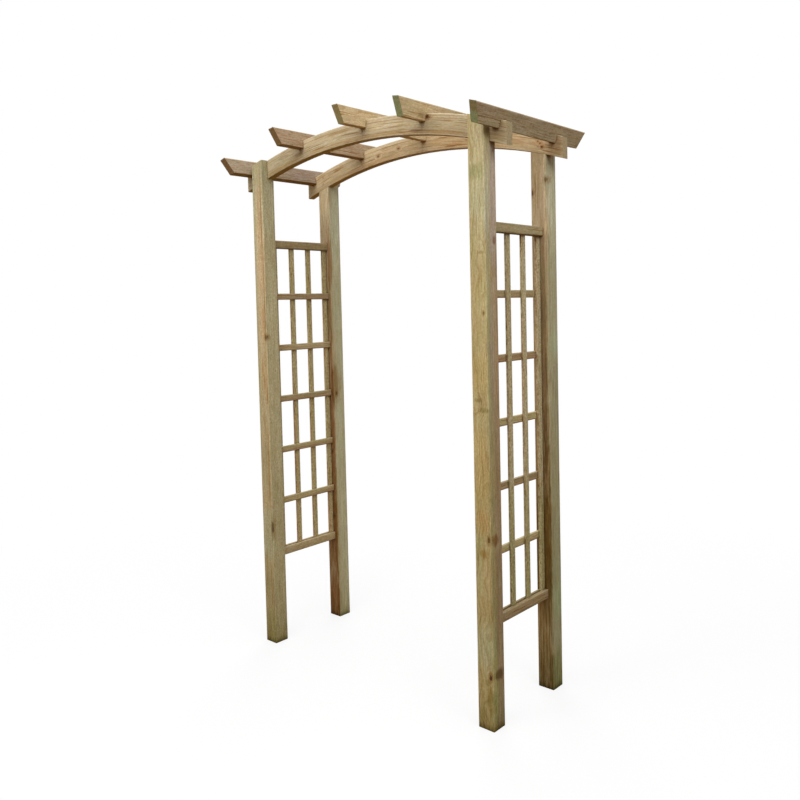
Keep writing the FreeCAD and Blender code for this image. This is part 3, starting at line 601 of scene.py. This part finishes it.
timber(
    "post_back_left", along_z, POST_HALF, seed=3, pith=(-0.10, -0.10), heart=0.150,
    sapwood=(0.53, 0.51, 0.325), heartwood=(0.48, 0.37, 0.21), preservative=(0.565, 0.56, 0.37),
    green=0.8, rings=0.4, streaks=0.5, foot_damp_and_shade=0.12,
    knots=[
        ((0.013, FRONT, 0.832), (0.005, 0.02, 0.008), 0.8),
        ((0.013, FRONT, 0.508), (0.006, 0.02, 0.010), 0.8),
        ((0.034, -0.018, 1.12), (0.01, 0.007, 0.010), 0.7),
        ((LEFT, 0.012, 0.95), (0.02, 0.007, 0.012), 0.8),
        ((-0.01, BACK, 1.72), (0.006, 0.02, 0.010), 0.8),
    ],
    stains=[
        # The brown front
        ((0.0, BEFORE_FRONT, 0.60), (0.12, 0.008, 1.15), (0.61, 0.43, 0.28)),
        ((0.022, FRONT, 1.50), (0.020, 0.006, 0.20), (0.70, 0.66, 0.58)),
        ((0.0, FRONT, 0.84), (0.06, 0.006, 0.52), (0.88, 0.83, 0.82)),
        ((0.0, FRONT, 0.25), (0.06, 0.006, 0.13), (1.0, 1.07, 1.20)),
        ((0.0, FRONT, 0.06), (0.06, 0.006, 0.14), (0.80, 0.68, 0.60)),
        # Where its brown runs round the corner
        ((RIGHT, -0.036, 1.76), (0.03, 0.016, 0.16), (0.70, 0.55, 0.42)),
        ((RIGHT, -0.036, 1.16), (0.03, 0.048, 0.11), (0.64, 0.48, 0.34)),
        ((RIGHT, -0.036, 0.40), (0.03, 0.010, 0.40), (0.80, 0.70, 0.55)),
        # The paler top
        ((-0.01, FRONT, 1.79), (0.05, 0.014, 0.18), (1.12, 1.15, 1.32)),
        ((0.0, -0.05, 2.06), (0.06, 0.03, 0.16), (1.55, 1.68, 1.85)),
        ((RIGHT, 0.01, 2.08), (0.03, 0.06, 0.40), (1.28, 1.34, 1.48)),
    ],
)
timber(
    "post_back_right", along_z, POST_HALF, seed=4, pith=(-0.10, -0.10), heart=0.150, figure=0.02,
    sapwood=(0.44, 0.41, 0.255), heartwood=(0.47, 0.37, 0.215), preservative=(0.46, 0.445, 0.29),
    green=0.8, streaks=0.9, foot_damp_and_shade=0.25,
    knots=[
        ((0.031, FRONT, 2.015), (0.006, 0.02, 0.011), 0.7),
        ((-0.029, FRONT, 1.97), (0.006, 0.02, 0.012), 0.7),
        ((0.02, FRONT, 0.448), (0.010, 0.02, 0.03), 0.2),
        ((LEFT, -0.004, 1.30), (0.02, 0.006, 0.011), 0.8),
        ((0.006, BACK, 0.66), (0.007, 0.02, 0.012), 0.8),
    ],
    stains=[
        # The brown front; the strip darkest beside the trellis is brown heartwood with painted shade of the
        # trellis
        ((0.0, BEFORE_FRONT, 0.45), (0.15, 0.008, 0.95), (0.60, 0.51, 0.34)),
        ((0.015, FRONT, 1.30), (0.014, 0.006, 0.60), (0.60, 0.53, 0.46)),
        ((-0.026, FRONT, 0.95), (0.012, 0.006, 0.85), (1.22, 1.12, 1.0)),
        ((0.0, FRONT, 0.58), (0.12, 0.006, 0.27), (0.68, 0.62, 0.42)),
        ((0.0, FRONT, 0.25), (0.06, 0.006, 0.15), (1.12, 1.16, 1.24)),
        ((0.0, -0.05, 0.05), (0.09, 0.04, 0.16), (0.80, 0.82, 0.80)),
        # Grain lines low on the front
        ((-0.021, FRONT, 0.20), (0.0025, 0.006, 0.20), (0.66, 0.62, 0.52)),
        ((-0.008, FRONT, 0.18), (0.0025, 0.006, 0.22), (0.70, 0.66, 0.58)),
        ((0.006, FRONT, 0.21), (0.0025, 0.006, 0.18), (0.70, 0.66, 0.58)),
        ((0.020, FRONT, 0.22), (0.003, 0.006, 0.22), (0.66, 0.62, 0.52)),
        # The paler top
        ((0.0, -0.05, 1.86), (0.07, 0.03, 0.32), (1.20, 1.20, 1.28)),
        ((0.026, FRONT, 1.90), (0.006, 0.01, 0.28), (1.22, 1.22, 1.26)),
        ((RIGHT, -0.014, 1.89), (0.02, 0.02, 0.12), (1.14, 1.14, 1.20)),
        ((RIGHT, 0.01, 2.05), (0.03, 0.06, 0.40), (1.22, 1.26, 1.36)),
        # Slow changes of tone on the right side
        ((RIGHT, 0.01, 1.38), (0.02, 0.05, 0.06), (1.0, 1.10, 1.08)),
        ((RIGHT, 0.018, 1.18), (0.02, 0.03, 0.20), (0.86, 0.85, 0.85)),
        ((0.06, 0.005, 0.50), (0.04, 0.08, 1.10), (0.82, 0.82, 0.76)),
        ((RIGHT, 0.0, 0.42), (0.01, 0.08, 0.36), (0.91, 0.93, 0.92)),
        ((RIGHT, 0.01, 0.36), (0.02, 0.05, 0.10), (1.0, 1.12, 1.06)),
        ((RIGHT, 0.0, 0.04), (0.02, 0.06, 0.14), (0.74, 0.78, 0.62)),
    ],
)

# Curved beams: marks lie across the thickness, across the depth and round the curve, from the crown
BEAM_HALF = (0.018, BEAM_DEPTH / 2)
BEAM_FRONT, BEAM_BACK = -0.018, 0.018
BEAM_END = (0.34, 0.27, 0.155)
# A paler strip along the top, a painted highlight of light from above on the rounded top edge, parted from
# the rest by a thin dark line
BEAM_HIGHLIGHT_STRIP = [
    ((BEAM_FRONT, 0.031, 0.0), (0.02, 0.008, 1.2), (1.08, 1.08, 1.12)),
    ((BEAM_FRONT, 0.0225, 0.0), (0.02, 0.0016, 1.0), (0.70, 0.58, 0.44)),
]
# The beams get a painted highlight on their top edges and painted shade on their undersides
timber(
    "arch_beam_front", along_arc, BEAM_HALF, seed=5, pith=(-0.06, 0.012), heart=0.03, ring=0.006,
    sapwood=(0.585, 0.49, 0.315), heartwood=(0.545, 0.437, 0.275), ends=(BEAM_END, BEAM_END),
    green=0.15, streaks=1.0, flecks=0.3, specks=0.5, top_highlight=0.6, underside_shade=1.0,
    knots=[
        ((BEAM_FRONT, 0.026, 0.371), (0.01, 0.008, 0.009), 0.85),
        ((BEAM_BACK, 0.010, -0.33), (0.01, 0.005, 0.009), 0.8),
    ],
    stains=BEAM_HIGHLIGHT_STRIP + [
        # Browner along the lower edge
        ((BEAM_FRONT, -0.024, 0.32), (0.02, 0.006, 0.04), (0.60, 0.55, 0.56)),
        ((BEAM_FRONT, -0.028, 0.42), (0.02, 0.010, 0.26), (0.88, 0.77, 0.66)),
        ((BEAM_FRONT, -0.028, 0.0), (0.02, 0.008, 0.40), (0.92, 0.82, 0.72)),
        ((BEAM_FRONT, -0.028, -0.50), (0.02, 0.012, 0.16), (0.84, 0.74, 0.62)),
        # Dark and pale streaks
        ((BEAM_FRONT, -0.010, -0.37), (0.02, 0.010, 0.035), (0.70, 0.62, 0.55)),
        ((BEAM_FRONT, 0.016, -0.11), (0.02, 0.006, 0.09), (0.80, 0.66, 0.53)),
        ((BEAM_FRONT, -0.001, -0.05), (0.02, 0.005, 0.06), (0.70, 0.62, 0.56)),
        ((BEAM_FRONT, 0.002, 0.16), (0.02, 0.014, 0.10), (1.09, 1.09, 1.10)),
        ((BEAM_FRONT, 0.018, -0.30), (0.02, 0.012, 0.08), (1.08, 1.08, 1.08)),
        # Darker towards the posts; at the right end this is painted shadow of the rafter and the post
        ((BEAM_FRONT, 0.0, 0.69), (0.03, 0.06, 0.06), (0.84, 0.79, 0.73)),
        ((BEAM_FRONT, 0.0, 0.53), (0.03, 0.06, 0.20), (0.86, 0.84, 0.82)),
        ((BEAM_FRONT, 0.0, -0.58), (0.03, 0.06, 0.20), (0.88, 0.88, 0.86)),
    ],
)
timber(
    "arch_beam_back", along_arc, BEAM_HALF, seed=6, pith=(-0.055, -0.01), heart=0.035, ring=0.006,
    sapwood=(0.61, 0.487, 0.30), heartwood=(0.545, 0.412, 0.246), ends=(BEAM_END, BEAM_END),
    green=0.1, streaks=1.0, flecks=0.3, specks=0.5, top_highlight=0.6, underside_shade=1.0,
    knots=[
        ((BEAM_FRONT, -0.014, 0.652), (0.01, 0.005, 0.006), 0.8),
        ((BEAM_FRONT, -0.002, 0.640), (0.01, 0.004, 0.005), 0.6),
        ((BEAM_FRONT, 0.004, 0.628), (0.01, 0.004, 0.004), 0.6),
        ((BEAM_FRONT, 0.002, -0.115), (0.01, 0.005, 0.009), 0.7),
        ((BEAM_FRONT, -0.006, -0.243), (0.01, 0.005, 0.008), 0.7),
        ((BEAM_BACK, -0.012, 0.27), (0.01, 0.006, 0.010), 0.8),
    ],
    stains=BEAM_HIGHLIGHT_STRIP + [
        # Dark and pale streaks
        ((BEAM_FRONT, -0.004, 0.64), (0.02, 0.018, 0.035), (1.06, 0.90, 0.84)),
        ((BEAM_FRONT, 0.014, -0.51), (0.02, 0.008, 0.04), (0.76, 0.62, 0.48)),
        ((BEAM_FRONT, -0.010, -0.50), (0.02, 0.010, 0.03), (1.10, 1.12, 1.14)),
        ((BEAM_FRONT, -0.028, -0.32), (0.02, 0.010, 0.30), (0.92, 0.82, 0.72)),
        ((BEAM_FRONT, -0.022, 0.22), (0.02, 0.010, 0.05), (0.90, 0.79, 0.71)),
        ((BEAM_FRONT, 0.024, 0.20), (0.02, 0.008, 0.03), (0.90, 0.72, 0.60)),
        # Browner towards the right end, with painted shade of the rafter and the post at the very end
        ((BEAM_FRONT, 0.0, 0.70), (0.03, 0.06, 0.05), (0.80, 0.73, 0.66)),
        ((BEAM_FRONT, 0.0, 0.30), (0.03, 0.06, 0.30), (0.95, 0.87, 0.80)),
    ],
)

# Rafters: sapwood, heartwood, the sawn ends above and below, how dark the painted shade on the underside is,
# and the dark flecks
RAFTER_HALF = (0.016, 0.034)
RAFTER_PITH = (-0.035, 0.02)
RAFTER_SEED = 7
YELLOW_END = (0.27, 0.22, 0.09)
OLIVE_END = (0.27, 0.23, 0.10)
DULL_END = (0.24, 0.195, 0.085)
RAFTERS = {
    "far_left": ((0.47, 0.38, 0.28), (0.42, 0.335, 0.24), (BROWN_END, BROWN_END), 1.0, 0.8),
    "left": ((0.45, 0.33, 0.215), (0.40, 0.285, 0.176), (TAN_END, TAN_END), 0.6, 0.8),
    "middle": ((0.70, 0.55, 0.325), (0.63, 0.475, 0.268), (YELLOW_END, OLIVE_END), 0.2, 0.4),
    "right": ((0.64, 0.51, 0.30), (0.56, 0.425, 0.24), (GREEN_END, GREEN_END), 0.4, 0.4),
    "far_right": ((0.39, 0.315, 0.202), (0.35, 0.28, 0.175), (DULL_END, GREEN_END), 1.0, 0.8),
}
RAFTER_KNOTS = {
    "right": [((0.016, -0.014, -0.232), (0.01, 0.009, 0.018), 0.35)],
    "left": [((-0.016, 0.006, 0.12), (0.01, 0.006, 0.010), 0.8)],
}
RAFTER_STAINS = {"far_left": [((0.0, 0.0, 0.10), (0.06, 0.08, 0.24), (0.85, 0.82, 0.86))]}
# Each rafter also gets a painted highlight on its top edges
for seed, (place, settings) in enumerate(RAFTERS.items(), start=RAFTER_SEED):
    pale, brown, ends, underside_shade, flecks = settings
    timber(
        f"rafter_{place}", along_y, RAFTER_HALF, seed, RAFTER_PITH, heart=0.045, sapwood=pale,
        heartwood=brown, ends=ends, green=0.2, streaks=1.0, flecks=flecks, specks=0.8, top_highlight=0.6,
        underside_shade=underside_shade, knots=RAFTER_KNOTS.get(place, ()), stains=RAFTER_STAINS.get(place, ()),
    )

# Trellis: the wood of each piece
RAIL_HALF = (0.017, 0.018)
RAIL_PITH = (0.03, -0.03)
RAIL_HEART = 0.92
LATH_HALF = (0.005, 0.0145)
LATH_PITH = (0.03, -0.02)
UPRIGHT_HALF = (0.005, 0.013)
UPRIGHT_PITH = (0.0, -0.042)
UPRIGHT_COUNT = 4
TRELLIS_SEED = 13
OLIVE_WOOD = (0.50, 0.43, 0.22)
GREY_OLIVE_WOOD = (0.52, 0.46, 0.28)
GREY_WOOD = (0.42, 0.355, 0.205)
TAN_WOOD = (0.51, 0.415, 0.235)
PALE_BROWN_WOOD = (0.49, 0.38, 0.23)
BROWN_WOOD = (0.41, 0.33, 0.18)
RED_BROWN_WOOD = (0.42, 0.315, 0.185)
DARK_BROWN_WOOD = (0.335, 0.252, 0.136)
ORANGE_WOOD = (0.47, 0.30, 0.15)
# The right uprights are darker low down
LOW_STAIN = ((0.0, 0.0, 0.45), (0.05, 0.05, 0.45), (0.77, 0.80, 0.64))
# Bottom and top rail; laths counted upwards; sapwood, heartwood and stains of the uprights
RAILS = {"left": (TAN_WOOD, BROWN_WOOD), "right": (DARK_BROWN_WOOD, GREY_WOOD)}
LATHS = {
    "left": (OLIVE_WOOD, OLIVE_WOOD, BROWN_WOOD, TAN_WOOD, RED_BROWN_WOOD),
    "right": (OLIVE_WOOD, DARK_BROWN_WOOD, OLIVE_WOOD, RED_BROWN_WOOD, BROWN_WOOD),
}
UPRIGHTS = {
    "left": (OLIVE_WOOD, ORANGE_WOOD, []),
    "right": (GREY_OLIVE_WOOD, PALE_BROWN_WOOD, [LOW_STAIN]),
}
seeds = itertools.count(TRELLIS_SEED)
# Rails and laths: painted highlight on their top edges and painted shade along their lower edges
for side in ("left", "right"):
    for part, wood in zip(("bottom_rail", "top_rail"), RAILS[side]):
        timber(
            f"{side}_{part}", along_y, RAIL_HALF, next(seeds), RAIL_PITH, heart=0.03, sapwood=wood,
            heartwood=[RAIL_HEART * tone for tone in wood], green=0.2, streaks=1.0, specks=1.0,
            top_highlight=0.06, lower_shade=0.6,
        )
    for i, wood in enumerate(LATHS[side], start=1):
        timber(
            f"{side}_lath_{i}", along_y, LATH_HALF, next(seeds), LATH_PITH, heart=0.03, sapwood=wood,
            green=0.3, streaks=1.0, specks=1.2, top_highlight=0.3, lower_shade=0.8,
        )
    pale, brown, stains = UPRIGHTS[side]
    for i in range(1, UPRIGHT_COUNT + 1):
        timber(
            f"{side}_upright_{i}", along_z, UPRIGHT_HALF, next(seeds), UPRIGHT_PITH, heart=0.030,
            sapwood=pale, heartwood=brown, green=0.4, flecks=1.0, specks=2.2, stains=stains,
        )

# Screws and nails
COATING = (0.38, 0.29, 0.165)
ZINC = (0.46, 0.40, 0.30)
COATING_NOISE = ((700.0, 700.0, 700.0), 3.0, 0.5)
RUBBED_THROUGH = (0.55, 0.72)
ZINC_METALLIC = 0.8
COATING_ROUGHNESS, ZINC_ROUGHNESS = 0.6, 0.4


def coated_steel():
    """Dull tan coating of exterior screws and nails, rubbed through to the zinc in places."""
    material = bpy.data.materials.new("coated_steel")
    material.use_nodes = True
    s = Shader(material.node_tree)
    principled = material.node_tree.nodes["Principled BSDF"]
    point = s.node("ShaderNodeTexCoord").outputs["Object"]
    rubbed = s.ease(s.noise(point, *COATING_NOISE)[0], *RUBBED_THROUGH)
    s.set(principled.inputs["Base Color"], s.mix(rubbed, COATING, ZINC))
    s.set(principled.inputs["Metallic"], s.math("MULTIPLY", rubbed, ZINC_METALLIC))
    s.set(principled.inputs["Roughness"], s.ease(rubbed, 0.0, 1.0, COATING_ROUGHNESS, ZINC_ROUGHNESS))
    return material


COATED_STEEL = coated_steel()
for name in ("beam_screws", "rafter_screws", "left_trellis_nails", "right_trellis_nails"):
    put_on(name, COATED_STEEL)


# Floor, world and lamps
FLOOR_RADIUS = 14.0
FLOOR_SIDES = 96
# The floor as it is seen and as it throws light back up, and where it fades to white, in metres
FLOOR_SEEN = (0.85, 0.85, 0.85)
FLOOR_BOUNCE = (0.22, 0.12, 0.05)
FLOOR_FADES = (1.2, 3.2)
FLOOR_WHITE_NEAR, FLOOR_WHITE_FAR = 0.8, 1.0
OPAQUE_WHITE = (1.0, 1.0, 1.0, 1.0)
# Strength of the sky at the horizon and overhead, and of the glow on the camera's side
SKY_LOW, SKY_HIGH, SKY_GLOW = 0.1, 0.75, 0.76
GLOW_TOWARDS = Vector((0.75, -0.45, 0.5)).normalized()
GLOW_FALLOFF = 2.0
HORIZON = (-0.03, 0.03)
# Lamps: place and target, diameter in metres and power in watts
LAMPS = {
    "front_lamp": ((0.1, -2.8, 3.8), (0.0, 0.0, 1.6), 3.0, 73.0),
    "right_lamp": ((3.0, -0.8, 3.4), (0.4, 0.0, 1.7), 1.8, 25.5),
    "back_lamp": ((-2.4, 3.0, 3.2), (0.0, 0.0, 1.5), 3.0, 75.0),
}


def seen_rays(s):
    """1 for rays that show the background: from the camera, off gloss and through glass."""
    path = s.node("ShaderNodeLightPath").outputs
    seen = s.math("MAXIMUM", path["Is Camera Ray"], path["Is Glossy Ray"])
    return s.math("MAXIMUM", seen, path["Is Transmission Ray"])


def make_floor():
    """A pale floor that fades to white, keeps a soft shadow and throws little warm light back up."""
    bpy.ops.mesh.primitive_circle_add(vertices=FLOOR_SIDES, radius=FLOOR_RADIUS, fill_type="NGON")
    floor = bpy.context.object
    floor.name = "floor"
    material = bpy.data.materials.new("pale_floor")
    material.use_nodes = True
    tree = material.node_tree
    tree.nodes.clear()
    s = Shader(tree)
    point = s.node("ShaderNodeTexCoord").outputs["Object"]
    far = s.ease(s.vector("LENGTH", point), *FLOOR_FADES, FLOOR_WHITE_NEAR, FLOOR_WHITE_FAR)
    seen = seen_rays(s)
    diffuse = s.node("ShaderNodeBsdfDiffuse", {"Color": s.mix(seen, FLOOR_BOUNCE, FLOOR_SEEN)})
    white = s.node("ShaderNodeEmission", {"Color": OPAQUE_WHITE, "Strength": 1.0})
    white_share = s.math("MULTIPLY", seen, far)
    both = s.node("ShaderNodeMixShader", {0: white_share, 1: diffuse.outputs[0], 2: white.outputs[0]})
    output = s.node("ShaderNodeOutputMaterial")
    s.set(output.inputs["Surface"], both.outputs[0])
    floor.data.materials.append(material)


def make_world():
    """A sky that is brighter overhead and towards the camera's side, and white where it is seen."""
    world = bpy.data.worlds.new("soft_sky")
    scene.world = world
    world.use_nodes = True
    tree = world.node_tree
    tree.nodes.clear()
    s = Shader(tree)
    direction = s.node("ShaderNodeTexCoord").outputs["Generated"]
    height = s.split(direction)[2]
    level = s.math("MULTIPLY_ADD", s.math("MAXIMUM", height, 0.0), SKY_HIGH - SKY_LOW, SKY_LOW)
    facing = s.math("MAXIMUM", s.vector("DOT_PRODUCT", direction, GLOW_TOWARDS), 0.0)
    level = s.math("MULTIPLY_ADD", s.math("POWER", facing, GLOW_FALLOFF), SKY_GLOW, level)
    level = s.math("MULTIPLY", level, s.ease(height, *HORIZON))
    sky = s.node("ShaderNodeBackground", {"Color": OPAQUE_WHITE, "Strength": level})
    white = s.node("ShaderNodeBackground", {"Color": OPAQUE_WHITE, "Strength": 1.0})
    both = s.node("ShaderNodeMixShader", {0: seen_rays(s), 1: sky.outputs[0], 2: white.outputs[0]})
    output = s.node("ShaderNodeOutputWorld")
    s.set(output.inputs["Surface"], both.outputs[0])


def soft_lamp(name, place, target, size, power):
    data = bpy.data.lights.new(name, "AREA")
    data.shape = "DISK"
    data.size = size
    data.energy = power
    lamp = bpy.data.objects.new(name, data)
    lamp.location = place
    lamp.rotation_euler = (Vector(target) - Vector(place)).to_track_quat("-Z", "Y").to_euler()
    lamp.visible_camera = False
    scene.collection.objects.link(lamp)


make_floor()
make_world()
for name, settings in LAMPS.items():
    soft_lamp(name, *settings)
scene.view_settings.view_transform = "Standard"
